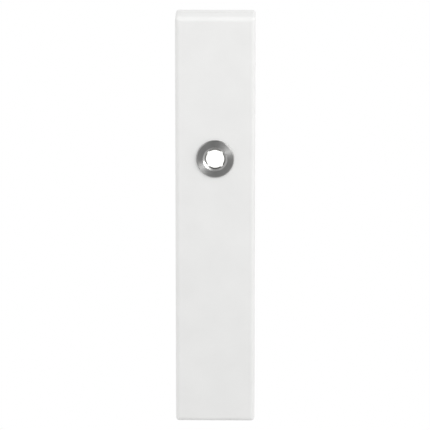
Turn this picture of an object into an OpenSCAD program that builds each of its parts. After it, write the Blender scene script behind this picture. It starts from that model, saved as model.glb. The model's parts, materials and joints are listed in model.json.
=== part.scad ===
// Slim wall-mounted video doorbell. The push is an opal cap in a turned steel bezel, and the
// camera looks out through a pinhole in the middle of the cap.
// +Z is up, +Y runs into the wall and the front faces -Y. The origin lies on the wall, in the
// middle of the bracket's back. All sizes are in millimetres.

/* [Housing] */
// Width of the housing
body_w = 42; // [38:1:54]
// Height of the housing
body_h = 220; // [205:1:270]
// Depth from the wall to the front face
body_d = 22; // [22:0.5:28]
// Corner radius seen from the front
corner_r = 1.8; // [1:0.1:4]
// Fillet radius around the front face
edge_r = 2.4; // [0.6:0.1:3]
// Side and end wall
side_wall = 2.2; // [1.8:0.1:2.6]
// Front wall
front_wall = 2; // [1.6:0.1:2.4]
// Gap between the back rim and the wall surface
wall_gap = 0.4; // [0.2:0.1:0.8]
// Height of the shadow gap between the two shells
seam = 0.4; // [0.2:0.1:0.8]
// Depth of the recess that takes the wall bracket
recess_d = 5.6; // [5.4:0.1:6]
// Thickness of the back shell's floor
floor_t = 1.6; // [1.2:0.1:2]
// Depth of the tongue that plugs the two shells together
tongue_d = 1.8; // [1:0.1:2]
// Thickness of the tongue
tongue_t = 1.2; // [0.8:0.1:1.4]

/* [Push] */
// Distance from the top of the housing to the centre of the push
ring_drop = 75.5; // [70:0.5:90]
// Radius of the bezel's flange
ring_r = 10; // [9.5:0.1:10.8]
// How far the flange stands proud of the front face
ring_proud = 1.2; // [0.8:0.1:2]
// Radius of the bezel's threaded barrel
barrel_r = 7.9; // [7.5:0.1:8.2]
// Length of the barrel behind the front face
barrel_l = 10; // [9:0.1:10.5]
// Radius of the bore that guides the cap
bore_r = 5.45; // [5:0.05:5.8]
// Width of the chamfer at the mouth of the bore
mouth_w = 1; // [0.4:0.1:1.4]
// Depth of the chamfer at the mouth of the bore
mouth_d = 0.6; // [0.3:0.05:1]
// Chamfer around the outside of the flange
rim_chamfer = 0.45; // [0.2:0.05:0.6]
// Radius of the round part of the opal cap
cap_r = 4.77; // [4.4:0.01:4.9]
// Width of the square whose corners are the cap's four guide lugs
lug_square = 8.1; // [7.6:0.05:8.4]
// Running clearance between the lugs and the bore
lug_gap = 0.07; // [0.03:0.01:0.1]
// How far the cap's face lies below the bezel's face
cap_sink = 0.5; // [0.2:0.1:1]
// Travel of the push
push_travel = 1.2; // [0.6:0.1:1.3]
// Radius of the camera's pinhole in the cap
pinhole_r = 0.45; // [0.3:0.05:0.8]

/* [Wall bracket] */
// Width of the bracket plate
bracket_w = 32; // [30:1:34]
// How much shorter the plate is than the housing
bracket_short = 20; // [18:1:26]
// Thickness of the plate
bracket_t = 1.5; // [1.2:0.1:2]
// Distance of each wall screw's hole from the middle
hole_z = 50; // [40:1:52]
// Radius of the holes for the wall screws
hole_r = 2.25; // [1.75:0.05:2.75]
// Distance of the hooks' outer edges from the middle line
hook_edge_x = 11; // [10.2:0.1:11.2]
// Width of a hook
hook_w = 7; // [5:0.5:8]
// Height of a hook's lip
hook_lip = 6; // [4:0.5:6.5]
// Lift that frees the housing from the hooks
lift = 7; // [6.5:0.1:7.2]

/* [Bottom controls] */
// Centre of the charging port from the middle line
usb_x = 9; // [8:0.1:9.5]
// Centre of the speaker from the middle line
speaker_x = -10; // [-10.5:0.1:-9.5]
// Number of speaker slots
slots = 5; // [3:1:5]
// Pitch of the speaker slots
slot_pitch = 2.5; // [2.2:0.1:2.6]
// Width of a speaker slot
slot_w = 1.3; // [0.8:0.1:1.5]
// Radius of the reset button
reset_r = 1.25; // [1:0.05:1.5]
// Travel of the reset button
reset_travel = 0.5; // [0.3:0.05:0.6]
// Travel of the tamper plunger
tamper_travel = 0.8; // [0.5:0.05:0.9]

/* [Boards and battery] */
// Thickness of the circuit boards
board_t = 1.2; // [0.8:0.1:1.6]
// Half width of the circuit boards between the screw bosses
board_half = 13; // [12:0.1:13]
// Height of the battery
battery_h = 66; // [50:1:67]
// Thickness of the battery
battery_t = 9; // [6:0.5:9]
// Width of the battery
battery_w = 34; // [28:0.5:34]

/* [Hidden] */
$fn = 64;
bit = 0.01;  // how far a cut runs past the face it opens

// Heights and depths that pieces share
top_z = body_h / 2;
bottom_z = -body_h / 2;
front_y = -body_d;
inner_y = front_y + front_wall;
floor_back_y = -recess_d;
floor_front_y = floor_back_y - floor_t;
front_rim_y = floor_front_y - seam;
tongue_end_y = floor_front_y - tongue_d;
in_w = body_w - 2 * side_wall;
in_h = body_h - 2 * side_wall;
in_bottom_z = bottom_z + side_wall;
plate_front_y = -bracket_t;
plate_h = body_h - bracket_short;

// Push and camera
ring_z = top_z - ring_drop;
ring_face_y = front_y - ring_proud;
barrel_end_y = front_y + barrel_l;
cap_face_y = ring_face_y + cap_sink;
cap_wall = 1;
cap_back_y = cap_face_y + cap_wall;
skirt_r = 4;
shoulder_y = front_y + 5;
shoulder_r = 6.7;
flange_r = 6.3;
flange_t = 1.5;
switch_x = 5.6;
switch_gap = 0.1;
camera_back_y = floor_front_y - 1.2;
camera_front_y = camera_back_y - board_t;
switch_h = 1.9;
switch_tip = 0.7;
switch_tip_y = camera_front_y - switch_h - switch_tip;
leg_end_y = switch_tip_y - switch_gap - push_travel;
holder_half = 3.7;
holder_front_y = camera_front_y - 3.4;
lens_r = 2.5;
lens_tip_y = cap_back_y + push_travel + 0.3;
lens_tip_r = 1.2;
camera_half_h = 15;

// Screws that close the housing, in rows from the top down
boss_x = in_w / 2 - 3.6;
boss_r = 2;
boss_rows = [in_h / 2 - 6, ring_z - 19, in_bottom_z + 24];
screw_r = 1;

// Boards
main_back_y = floor_front_y - 4.2;
main_front_y = main_back_y - board_t;
main_low_z = ring_z + camera_half_h + 5;
main_high_z = in_h / 2 - 2.5;
main_posts = [main_low_z + 3, main_high_z - 3];
post_x = 10.8;
post_r = 1.9;
power_z = bottom_z + 40;
power_half_h = 10;
power_back_y = floor_front_y - 6;
power_front_y = power_back_y - board_t;
speaker_w = 14;
speaker_d = 9;
speaker_h = 8.8;
speaker_gap = 0.3;
io_back_y = floor_front_y - 3.4;
io_front_y = io_back_y - board_t;
io_low_z = in_bottom_z + 1.3;
io_high_z = in_bottom_z + 18.8;
io_left_x = speaker_x + speaker_w / 2 + speaker_gap;
io_right_x = in_w / 2 - 0.6;

// Battery, between the middle screws and the power board
battery_top_z = boss_rows[1] - 4;
battery_front_y = inner_y + 1.2;
battery_back_y = battery_front_y + battery_t;
ribbon_t = 0.3;
ribbon_y = floor_front_y - 0.7;

// Terminal block and the window in the bracket that the door's wires come through
terminal_w = 18;
terminal_h = 12;
terminal_proud = 1.2;
terminal_back_y = floor_back_y + terminal_proud;
terminal_gap = 0.3;
terminal_pitch = 10;
window_w = 26;
window_h = 28;

// Hooks. The hook and the ledge behind it share the depth that their clearances leave in the recess
hook_x = hook_edge_x - hook_w / 2;
hook_floor_gap = 0.8;
hook_ledge_gap = 0.3;
ledge_plate_gap = 0.4;
hook_room = recess_d - bracket_t - hook_floor_gap - hook_ledge_gap - ledge_plate_gap;
hook_t = hook_room / 2 + 0.1;
hook_stem = 1.6;
hook_reach_y = floor_back_y + hook_floor_gap;
ledge_front_y = hook_reach_y + hook_t + hook_ledge_gap;
ledge_back_y = plate_front_y - ledge_plate_gap;
hook_rows = [top_z - 30, bottom_z + 16];
bridge_side = 1.8;
bridge_h = hook_lip + 3;

// Security screw and the bracket's tab
tab_gap = 0.3;
tab_front_y = floor_back_y + tab_gap;
tab_y = (tab_front_y + plate_front_y) / 2 + 0.1;
tab_t = 1.6;
tab_z = -plate_h / 2;
security_r = 1.25;
security_head_r = 2.4;
security_head_h = 1.9;

// Charging port and its hinged flap
usb_w = 8.94;
usb_h = 3.26;
usb_l = 7.3;
usb_skin = 0.4;
usb_y = io_front_y - usb_h / 2;
flap_t = 1.4;
flap_half = 6.4;
flap_gap = 0.3;
flap_axis_y = usb_y + 2.75;
flap_axis_z = bottom_z + 0.05 + flap_t / 2;
flap_front_y = usb_y - 3.3;
flap_plug = 0.65;
pin_r = 0.4;
pin_gap = 0.05;

// Speaker, microphone and small controls
slot_y = (inner_y + tongue_end_y) / 2;
slot_l = 7;
mesh_t = 0.2;
gasket_t = 0.8;
mic_x = in_w / 2 - 1.6;
mic_r = 0.5;
mic_boot_r = 1.5;
mic_y = slot_y - 0.6;
reset_x = -0.6;
reset_y = usb_y;
reset_gap = 0.05;
reset_sink = 0.2;
reset_tip_z = in_bottom_z + 1.3;
tamper_z = top_z - 42;
tamper_r = 1.5;
tamper_gap = 0.05;
tamper_tip_y = floor_front_y - 1.6;

// --- Helpers ---

// A block between two opposite corners
module block(low, high) {
  translate(low) cube(high - low);
}

// A cylinder along Y between two depths
module rod_y(r, y0, y1, x = 0, z = 0, r2 = undef) {
  translate([x, y1, z]) rotate([90, 0, 0]) cylinder(h = y1 - y0, r1 = is_undef(r2) ? r : r2, r2 = r);
}

// A cylinder along Z between two heights
module rod_z(r, z0, z1, x = 0, y = 0) {
  translate([x, y, z0]) cylinder(h = z1 - z0, r = r);
}

// A flat outline in X and Z, drawn out between two depths
module slab_y(y0, y1) {
  translate([0, y1, 0]) rotate([90, 0, 0]) linear_extrude(y1 - y0) children();
}

// A profile of radius and depth, turned about the push's axis
module turned_y() {
  translate([0, 0, ring_z]) rotate([-90, 0, 0]) rotate_extrude() children();
}

// A rectangle with round corners, as squares and circles
module round_rect(w, h, r) {
  square([w - 2 * r, h], center = true);
  square([w, h - 2 * r], center = true);
  for (x = [-1, 1], z = [-1, 1]) translate([x * (w / 2 - r), z * (h / 2 - r)]) circle(r = r);
}

// A slab whose front edges are rounded
module filleted_slab(w, h, y0, y1, corner, edge) {
  steps = 5;
  hull() {
    for (i = [0:steps]) {
      inset = edge * (1 - sin(90 * i / steps));
      y = y0 + edge * (1 - cos(90 * i / steps));
      slab_y(y, y1) round_rect(w - 2 * inset, h - 2 * inset, max(corner - inset, 0.4), $fn = 32);
    }
  }
}

// A ribbon cable that follows points of depth and height
module ribbon(points, x0, x1) {
  n = len(points);
  back = [for (i = [n - 1:-1:0]) points[i] + [ribbon_t, 0]];
  translate([x0, 0, 0]) rotate([90, 0, 90]) linear_extrude(x1 - x0) polygon(concat(points, back));
}

// A cross-head screw that is driven towards the front
module cross_screw(x, z, under_y, head_r, head_h, shank_r, length) {
  difference() {
    union() {
      rod_y(head_r, under_y, under_y + head_h, x, z);
      rod_y(shank_r, under_y - length, under_y + bit, x, z);
    }
    slot_depth = head_h * 0.6;
    for (size = [[head_r * 1.2, 0.5], [0.5, head_r * 1.2]]) {
      translate([x, under_y + head_h - slot_depth / 2 + bit, z])
        cube([size[0], slot_depth + bit, size[1]], center = true);
    }
  }
}

// A post with a blind screw hole, standing on the front wall
module post(x, z, r, top_y, hole) {
  difference() {
    rod_y(r, inner_y - bit, top_y, x, z);
    rod_y(hole, top_y - 6, top_y + bit, x, z);
  }
}

// --- Wall bracket ---

module wall_bracket() color("silver") {
  difference() {
    slab_y(plate_front_y, 0) round_rect(bracket_w, plate_h, 2);
    translate([0, 0, power_z])
      slab_y(plate_front_y - bit, bit) square([window_w, window_h], center = true);
    for (z = [-hole_z, hole_z]) rod_y(hole_r, plate_front_y - bit, bit, 0, z);
  }
  for (x = [-hook_x, hook_x], z = hook_rows) {
    block([x - hook_w / 2, hook_reach_y, z - hook_stem], [x + hook_w / 2, plate_front_y, z]);
    block([x - hook_w / 2, hook_reach_y, z - bit], [x + hook_w / 2, hook_reach_y + hook_t, z + hook_lip]);
  }
  difference() {
    block([-5, tab_front_y, tab_z], [5, plate_front_y + bit, tab_z + tab_t]);
    rod_z(security_r + 0.2, tab_z - bit, tab_z + tab_t + bit, 0, tab_y);
  }
}

// --- Housing ---

// The ledge that drops behind a bracket hook, with its two cheeks
module hook_bridge(x, z) {
  outer = hook_w / 2 + 0.5 + bridge_side;
  difference() {
    block([x - outer, floor_back_y - bit, z], [x + outer, ledge_back_y, z + bridge_h]);
    block([x - hook_w / 2 - 0.5, floor_back_y, z - 1],
          [x + hook_w / 2 + 0.5, ledge_front_y, z + bridge_h - 1.4]);
  }
}

module back_shell() color("white") {
  difference() {
    union() {
      slab_y(floor_front_y, -wall_gap) round_rect(body_w, body_h, corner_r);
      slab_y(tongue_end_y, floor_front_y + bit) square([in_w - 0.2, in_h - 0.2], center = true);
    }
    slab_y(floor_back_y, 0) square([in_w, in_h], center = true);
    slab_y(tongue_end_y - bit, floor_front_y)
      square([in_w - 0.2 - 2 * tongue_t, in_h - 0.2 - 2 * tongue_t], center = true);
    for (x = [-boss_x, boss_x], z = boss_rows)
      rod_y(screw_r + 0.15, floor_front_y - bit, floor_back_y + bit, x, z);
    translate([0, 0, power_z]) slab_y(floor_front_y - bit, floor_back_y + bit)
      square([terminal_w + 2 * terminal_gap, terminal_h + 2 * terminal_gap], center = true);
    rod_y(tamper_r + 0.05, floor_front_y - bit, floor_back_y + bit, 0, tamper_z);
    rod_z(security_r + 0.15, bottom_z - bit, in_bottom_z + bit, 0, tab_y);
    rod_z(security_head_r + 0.2, bottom_z - bit, bottom_z + security_head_h + 0.1, 0, tab_y);
  }
  for (x = [-hook_x, hook_x], z = hook_rows) hook_bridge(x, z);
}

module front_shell() color("white") {
  difference() {
    filleted_slab(body_w, body_h, front_y, front_rim_y, corner_r, edge_r);
    slab_y(inner_y, front_rim_y + 1) square([in_w, in_h], center = true);
    rod_y(barrel_r + 0.1, front_y - 1, inner_y + 1, 0, ring_z);
    for (i = [0:slots - 1]) {
      x = speaker_x + (i - (slots - 1) / 2) * slot_pitch;
      block([x - slot_w / 2, slot_y - slot_l / 2, bottom_z - 1],
            [x + slot_w / 2, slot_y + slot_l / 2, in_bottom_z + 1]);
    }
    rod_z(mic_r, bottom_z - 1, in_bottom_z + 1, mic_x, mic_y);
    rod_z(reset_r + reset_gap, bottom_z - 1, in_bottom_z + 1, reset_x, reset_y);
    block([usb_x - 4.9, usb_y - 2, bottom_z - 1], [usb_x + 4.9, usb_y + 2, in_bottom_z + 1]);
    block([usb_x - flap_half - flap_gap, flap_front_y - flap_gap, bottom_z - 1],
          [usb_x + flap_half + flap_gap, flap_axis_y + flap_t / 2 + 0.2, bottom_z + flap_t + 0.1]);
    translate([usb_x, flap_axis_y, flap_axis_z]) rotate([0, 90, 0])
      cylinder(h = 2 * flap_half + 2, r = pin_r, center = true);
  }
  for (x = [-boss_x, boss_x], z = boss_rows) post(x, z, boss_r, floor_front_y, screw_r);
  for (x = [-post_x, post_x], z = [-12.5, 12.5]) post(x, ring_z + z, post_r, camera_front_y, 0.8);
  for (x = [-post_x, post_x], z = main_posts) post(x, z, post_r, main_front_y, 0.8);
  for (x = [-post_x, post_x]) post(x, power_z, post_r, power_front_y, 0.8);
  post(io_right_x - 2, io_high_z - 2, post_r, io_front_y, 0.8);
  post(0, io_high_z - 2, post_r, io_front_y, 0.8);
}

module perimeter_seal() color("dimgray") slab_y(front_rim_y, floor_front_y) difference() {
  round_rect(body_w - 1.2, body_h - 1.2, corner_r - 0.6);
  square([in_w, in_h], center = true);
}

module housing_screws() color("gray") {
  for (x = [-boss_x, boss_x], z = boss_rows) cross_screw(x, z, floor_back_y, 1.9, 1.4, screw_r, 7);
}

module security_screw() color("gray") difference() {
  union() {
    rod_z(security_head_r, bottom_z, bottom_z + security_head_h, 0, tab_y);
    rod_z(security_r, bottom_z + security_head_h - bit, tab_z + tab_t + 3, 0, tab_y);
  }
  translate([0, tab_y, bottom_z - bit]) cylinder(h = 1.2, r = 1.15, $fn = 6);
}

// --- Push ---

module bezel_ring() color("lightsteelblue") turned_y() difference() {
  polygon([
    [bore_r, ring_face_y + mouth_d], [bore_r + mouth_w, ring_face_y],
    [ring_r - rim_chamfer, ring_face_y], [ring_r, ring_face_y + rim_chamfer], [ring_r, front_y],
    [barrel_r, front_y], [barrel_r, barrel_end_y], [shoulder_r, barrel_end_y],
    [shoulder_r, shoulder_y], [bore_r, shoulder_y]
  ]);
  translate([barrel_r + 0.6, front_y - 0.6]) square([ring_r - barrel_r - 1.1, 1]);
}

module bezel_seal() color("black") turned_y() translate([barrel_r + 0.6, front_y - 0.6])
  square([ring_r - barrel_r - 1.1, 0.6]);

module bezel_nut() color("gainsboro") difference() {
  translate([0, inner_y + 2.5, ring_z]) rotate([90, 0, 0]) cylinder(h = 2.5, r = 11.5, $fn = 6);
  rod_y(barrel_r + 0.05, inner_y - 1, inner_y + 4, 0, ring_z);
}

module push_cap() color("ghostwhite") difference() {
  union() {
    rod_y(cap_r, cap_face_y, shoulder_y + bit, 0, ring_z);
    intersection() {
      rod_y(bore_r - lug_gap, cap_face_y, shoulder_y + bit, 0, ring_z);
      translate([0, (cap_face_y + shoulder_y) / 2, ring_z]) cube([lug_square, 20, lug_square], center = true);
    }
    rod_y(flange_r, shoulder_y, shoulder_y + flange_t, 0, ring_z);
    for (x = [-switch_x, switch_x]) rod_y(0.6, shoulder_y + flange_t - bit, leg_end_y, x, ring_z);
  }
  rod_y(skirt_r, cap_back_y, shoulder_y + flange_t + bit, 0, ring_z);
  rod_y(pinhole_r, cap_face_y - 1, cap_back_y + 1, 0, ring_z);
}

// A round wire coiled about the push's axis
function coil_centre(i, n, turns, r, y0, y1) =
  [r * cos(360 * turns * i / n), y0 + (y1 - y0) * i / n, ring_z + r * sin(360 * turns * i / n)];
function coil_ring(i, n, turns, r, y0, y1, wire, sides) =
  let (a = 360 * turns * i / n, c = coil_centre(i, n, turns, r, y0, y1))
  [for (k = [0:sides - 1]) c + wire * [cos(360 * k / sides) * cos(a), sin(360 * k / sides),
                                       cos(360 * k / sides) * sin(a)]];

module push_spring() color("silver") {
  turns = 6;
  sides = 6;
  n = turns * 14;
  wire = 0.22;
  y0 = cap_back_y + wire + 0.05;
  y1 = holder_front_y - wire - 0.05;
  points = [for (i = [0:n]) each coil_ring(i, n, turns, 3.3, y0, y1, wire, sides)];
  sleeve = [for (i = [0:n - 1], k = [0:sides - 1])
    [i * sides + k, i * sides + (k + 1) % sides, (i + 1) * sides + (k + 1) % sides, (i + 1) * sides + k]];
  first_end = [for (k = [sides - 1:-1:0]) k];
  last_end = [for (k = [0:sides - 1]) n * sides + k];
  polyhedron(points, concat([first_end], sleeve, [last_end]));
}

module push_switches() color("dimgray") for (x = [-switch_x, switch_x]) {
  block([x - 1.2, camera_front_y - switch_h, ring_z - 1.6], [x + 1.2, camera_front_y, ring_z + 1.6]);
  rod_y(0.6, switch_tip_y, camera_front_y - switch_h + bit, x, ring_z);
}

module status_leds() color("lightyellow") for (z = [-5.6, 5.6])
  block([-0.8, camera_front_y - 0.7, ring_z + z - 0.4], [0.8, camera_front_y, ring_z + z + 0.4]);

// --- Camera ---

module lens_barrel() color("black") turned_y() polygon([
  [0.75, lens_tip_y], [lens_tip_r, lens_tip_y], [lens_r, lens_tip_y + 4], [lens_r, holder_front_y + 1.4],
  [1.9, holder_front_y + 1.4], [1.9, lens_tip_y + 4], [0.75, lens_tip_y + 1.2]
]);

module lens_front_element() color("lightblue") rod_y(0.74, lens_tip_y + 0.1, lens_tip_y + 1, 0, ring_z);

module lens_rear_element() color("lightblue")
  rod_y(1.89, holder_front_y - 0.8, holder_front_y + 0.8, 0, ring_z);

module lens_holder() color("black") difference() {
  block([-holder_half, holder_front_y, ring_z - holder_half],
        [holder_half, camera_front_y, ring_z + holder_half]);
  block([-2.8, holder_front_y + 1.4, ring_z - 2.8], [2.8, camera_front_y + 1, ring_z + 2.8]);
  rod_y(lens_r + 0.02, holder_front_y - 1, camera_front_y, 0, ring_z);
}

module image_sensor() color("darkslategray")
  block([-2.4, camera_front_y - 0.9, ring_z - 2.4], [2.4, camera_front_y, ring_z + 2.4]);

module camera_board() color("darkgreen") difference() {
  block([-board_half, camera_front_y, ring_z - camera_half_h],
        [board_half, camera_back_y, ring_z + camera_half_h]);
  for (x = [-post_x, post_x], z = [-12.5, 12.5])
    rod_y(0.9, camera_front_y - 1, camera_back_y + 1, x, ring_z + z);
}

module camera_flex() color("orange") {
  low_z = ring_z + camera_half_h - 1.2;
  ribbon([[camera_front_y - 0.8, low_z - 1], [camera_front_y - 0.8, low_z + 1.5],
          [main_front_y - 0.9, main_low_z - 1], [main_front_y - 0.9, main_low_z + 1.5]], -3.5, 3.5);
}

// --- Main board ---

module main_board() color("darkgreen") difference() {
  block([-board_half, main_front_y, main_low_z], [board_half, main_back_y, main_high_z]);
  for (x = [-post_x, post_x], z = main_posts) rod_y(0.9, main_front_y - 1, main_back_y + 1, x, z);
}

module shield_can() color("silver") difference() {
  block([-8, main_front_y - 2, main_low_z + 7], [8, main_front_y, main_low_z + 25]);
  block([-7.7, main_front_y - 1.7, main_low_z + 7.3], [7.7, main_front_y + 1, main_low_z + 24.7]);
}

module processor_chip() color("black")
  block([-5, main_front_y - 1.1, main_low_z + 11], [5, main_front_y, main_low_z + 21]);

module radio_module() color("navy") {
  block([-6.5, main_front_y - 0.8, main_high_z - 20], [6.5, main_front_y, main_high_z - 2]);
  block([-5, main_front_y - 2.2, main_high_z - 19], [5, main_front_y - 0.8 + bit, main_high_z - 8]);
}

module board_chips() color("black") {
  block([-12, main_front_y - 1, main_low_z + 12], [-9, main_front_y, main_low_z + 16]);
  block([9, main_front_y - 1.4, main_low_z + 10], [12, main_front_y, main_low_z + 13]);
  block([-5, power_front_y - 1.2, power_z - 3], [1, power_front_y, power_z + 3]);
  rod_y(2.8, power_front_y - 4, power_front_y, 5.5, power_z + 5);
}

module flex_connectors() color("ivory") {
  low_z = ring_z + camera_half_h - 3.4;
  difference() {
    block([-4.5, camera_front_y - 1.2, low_z], [4.5, camera_front_y, low_z + 3]);
    block([-3.6, camera_front_y - 0.85, low_z + 0.9], [3.6, camera_front_y - 0.45, low_z + 4]);
  }
  difference() {
    block([-4.5, main_front_y - 1.3, main_low_z + 0.2], [4.5, main_front_y, main_low_z + 3]);
    block([-3.6, main_front_y - 0.95, main_low_z - 1], [3.6, main_front_y - 0.55, main_low_z + 1.8]);
  }
}

module board_screws() color("gray") {
  for (x = [-post_x, post_x], z = [-12.5, 12.5]) cross_screw(x, ring_z + z, camera_back_y, 1.5, 0.9, 0.75, 5);
  for (x = [-post_x, post_x], z = main_posts) cross_screw(x, z, main_back_y, 1.6, 1.1, 0.75, 5);
  for (x = [-post_x, post_x]) cross_screw(x, power_z, power_back_y, 1.6, 1.1, 0.75, 5);
  for (x = [0, io_right_x - 2]) cross_screw(x, io_high_z - 2, io_back_y, 1.6, 1.1, 0.75, 5);
}

// --- Power ---

module battery_pack() color("slategray") {
  block([-battery_w / 2, battery_front_y, battery_top_z - battery_h],
        [battery_w / 2, battery_back_y, battery_top_z - 4]);
  block([-battery_w / 2 + 1, battery_front_y + 1.5, battery_top_z - 4 - bit],
        [battery_w / 2 - 1, battery_back_y - 1.5, battery_top_z]);
}

module battery_pads() color("darkgray") {
  for (z = [battery_top_z - 16, battery_top_z - battery_h + 4])
    block([-14, inner_y, z], [14, battery_front_y, z + 8]);
  for (z = [battery_top_z - 16, battery_top_z - battery_h + 4])
    block([-14, battery_back_y, z], [14, ribbon_y - 0.05, z + 8]);
}

module battery_lead() color("orange") {
  start_y = battery_back_y - 1.5;
  ribbon([[start_y, battery_top_z - 2], [start_y, battery_top_z + 0.5], [ribbon_y, battery_top_z + 5],
          [ribbon_y, main_low_z - 4], [main_back_y, main_low_z + 1], [main_back_y, main_low_z + 3]], -8, -3);
}

module power_board() color("darkgreen") difference() {
  block([-board_half, power_front_y, power_z - power_half_h],
        [board_half, power_back_y, power_z + power_half_h]);
  for (x = [-post_x, post_x]) rod_y(0.9, power_front_y - 1, power_back_y + 1, x, power_z);
}

module power_flex() color("orange") {
  ribbon([[power_back_y, power_z + power_half_h - 2.5], [power_back_y, power_z + power_half_h],
          [ribbon_y, power_z + power_half_h + 5], [ribbon_y, main_low_z - 4],
          [main_back_y, main_low_z + 1], [main_back_y, main_low_z + 3]], 3, 8);
}

module terminal_block() color("black") difference() {
  block([-terminal_w / 2, power_back_y, power_z - terminal_h / 2],
        [terminal_w / 2, terminal_back_y, power_z + terminal_h / 2]);
  for (x = [-terminal_pitch / 2, terminal_pitch / 2]) {
    rod_y(1.45, power_back_y + 2, terminal_back_y + 1, x, power_z);
    block([x - 3.2, terminal_back_y - 1, power_z - terminal_h / 2 - 1],
          [x + 3.2, terminal_back_y + 1, power_z + 3.2]);
  }
}

module terminal_screws() color("gold") for (x = [-terminal_pitch / 2, terminal_pitch / 2])
  cross_screw(x, power_z, terminal_back_y - 1, 2.9, 1.8, 1.4, 5);

// --- Bottom end ---

module io_board() color("darkgreen") difference() {
  block([io_left_x, io_front_y, io_low_z], [io_right_x, io_back_y, io_high_z]);
  for (x = [0, io_right_x - 2]) rod_y(0.9, io_front_y - 1, io_back_y + 1, x, io_high_z - 2);
}

module io_flex() color("orange") ribbon([[io_back_y, io_high_z - 2.5], [io_back_y, io_high_z],
  [power_back_y, power_z - power_half_h - 1], [power_back_y, power_z - power_half_h + 2]], 5, 10);

module usb_port() color("silver") {
  low = [usb_x - usb_w / 2, io_front_y - usb_h, in_bottom_z + 0.2];
  difference() {
    block(low, low + [usb_w, usb_h, usb_l]);
    block(low + [usb_skin, usb_skin, -1], low + [usb_w - usb_skin, usb_h - usb_skin, usb_l - 1]);
  }
  block([usb_x - 3.3, usb_y - 0.35, in_bottom_z + 1], [usb_x + 3.3, usb_y + 0.35, in_bottom_z + usb_l - 0.5]);
}

module usb_flap() color("white") difference() {
  union() {
    block([usb_x - flap_half, flap_front_y, flap_axis_z - flap_t / 2],
          [usb_x + flap_half, flap_axis_y, flap_axis_z + flap_t / 2]);
    translate([usb_x, flap_axis_y, flap_axis_z]) rotate([0, 90, 0])
      cylinder(h = 2 * flap_half, r = flap_t / 2, center = true);
    block([usb_x - 3.8, usb_y - 1.1, flap_axis_z + flap_t / 2 - bit],
          [usb_x + 3.8, usb_y + 1.1, flap_axis_z + flap_t / 2 + flap_plug]);
  }
  translate([usb_x, flap_axis_y, flap_axis_z]) rotate([0, 90, 0])
    cylinder(h = 2 * flap_half + 1, r = pin_r + pin_gap, center = true);
  block([usb_x - 2.5, flap_front_y - 1, bottom_z - 1], [usb_x + 2.5, flap_front_y + 0.6, flap_axis_z - 0.1]);
}

module usb_flap_pin() color("gray") translate([usb_x, flap_axis_y, flap_axis_z]) rotate([0, 90, 0])
  cylinder(h = 2 * flap_half + 1.8, r = pin_r, center = true);

module speaker_mesh() color("dimgray") block(
  [speaker_x - speaker_w / 2, slot_y - speaker_d / 2, in_bottom_z],
  [speaker_x + speaker_w / 2, slot_y + speaker_d / 2, in_bottom_z + mesh_t]);

module speaker_gasket() color("black") difference() {
  low_z = in_bottom_z + mesh_t;
  block([speaker_x - speaker_w / 2, slot_y - speaker_d / 2, low_z],
        [speaker_x + speaker_w / 2, slot_y + speaker_d / 2, low_z + gasket_t]);
  block([speaker_x - speaker_w / 2 + 0.6, slot_y - speaker_d / 2 + 0.6, low_z - 1],
        [speaker_x + speaker_w / 2 - 0.6, slot_y + speaker_d / 2 - 0.6, low_z + gasket_t + 1]);
}

module speaker() color("black") difference() {
  low_z = in_bottom_z + mesh_t + gasket_t;
  block([speaker_x - speaker_w / 2, slot_y - speaker_d / 2, low_z],
        [speaker_x + speaker_w / 2, slot_y + speaker_d / 2, low_z + speaker_h]);
  translate([speaker_x, slot_y, low_z - 1]) cylinder(h = 2, r1 = 4.2, r2 = 2.6);
}

module mic_boot() color("dimgray") difference() {
  rod_z(mic_boot_r, in_bottom_z, in_bottom_z + 2.6, mic_x, mic_y);
  rod_z(1.1, in_bottom_z + 0.8, in_bottom_z + 3, mic_x, mic_y);
  rod_z(mic_r, in_bottom_z - 1, in_bottom_z + 1, mic_x, mic_y);
}

module microphone() color("silver") rod_z(1.08, in_bottom_z + 0.8, in_bottom_z + 2.2, mic_x, mic_y);

module reset_button() color("gainsboro") {
  rod_z(reset_r, bottom_z + reset_sink, in_bottom_z + bit, reset_x, reset_y);
  rod_z(reset_r + 0.6, in_bottom_z, in_bottom_z + 0.7, reset_x, reset_y);
  rod_z(0.7, in_bottom_z + 0.7 - bit, reset_tip_z, reset_x, reset_y);
}

module reset_switch() color("dimgray") {
  tip_z = reset_tip_z + reset_travel + 0.05;
  block([reset_x - 1.9, io_front_y - 3.3, tip_z + 0.5], [reset_x + 1.9, io_front_y, tip_z + 3.8]);
  rod_z(0.6, tip_z, tip_z + 0.5 + bit, reset_x, reset_y);
}

module tamper_plunger() color("gray") {
  rod_y(tamper_r, floor_front_y - bit, plate_front_y - tamper_gap, 0, tamper_z);
  rod_y(tamper_r + 0.9, floor_front_y - 1, floor_front_y, 0, tamper_z);
  rod_y(0.8, tamper_tip_y, floor_front_y - 1 + bit, 0, tamper_z);
}

module tamper_switch() color("dimgray") {
  tip_y = tamper_tip_y - tamper_travel - 0.1;
  block([-2.2, main_back_y, tamper_z - 2.2], [2.2, tip_y - 0.4, tamper_z + 2.2]);
  rod_y(0.8, tip_y - 0.4 - bit, tip_y, 0, tamper_z);
}

wall_bracket();
back_shell();
front_shell();
perimeter_seal();
housing_screws();
security_screw();
bezel_ring();
bezel_nut();
bezel_seal();
push_cap();
push_spring();
push_switches();
status_leds();
lens_barrel();
lens_front_element();
lens_rear_element();
lens_holder();
image_sensor();
camera_board();
camera_flex();
main_board();
shield_can();
processor_chip();
radio_module();
board_chips();
flex_connectors();
board_screws();
battery_pack();
battery_pads();
battery_lead();
power_board();
power_flex();
terminal_block();
terminal_screws();
io_board();
io_flex();
usb_port();
usb_flap();
usb_flap_pin();
speaker();
speaker_gasket();
speaker_mesh();
microphone();
mic_boot();
reset_button();
reset_switch();
tamper_plunger();
tamper_switch();
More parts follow.
